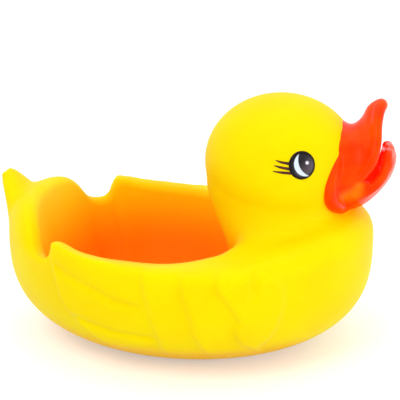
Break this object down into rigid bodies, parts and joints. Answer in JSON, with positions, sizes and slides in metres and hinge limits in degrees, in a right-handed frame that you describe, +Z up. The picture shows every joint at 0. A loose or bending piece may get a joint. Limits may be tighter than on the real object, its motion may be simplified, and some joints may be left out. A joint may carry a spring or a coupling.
{
  "type": "rubber duck",
  "caption": "Bath toy of soft vinyl: a round-headed duck with an open upturned bill, a boat-shaped body, feathered wings and a hollow basin in its back.",
  "frame": {"origin": "on the floor, under the middle of the duck's bounding box", "axes": "+X along the duck's length, the way it looks, and +Z up"},
  "size_m": [0.1428, 0.1046, 0.0899],
  "materials": {
    "yellow_vinyl": "satin soft vinyl, bright yellow all through",
    "bill_paint": "glossy orange-red paint on the bill and in the mouth",
    "eye_paint": "glossy black eye print with a pale crescent, and matte black lashes"
  },
  "bodies": {
    "root": {"duck": "yellow_vinyl"}
  },
  "joints": []
}
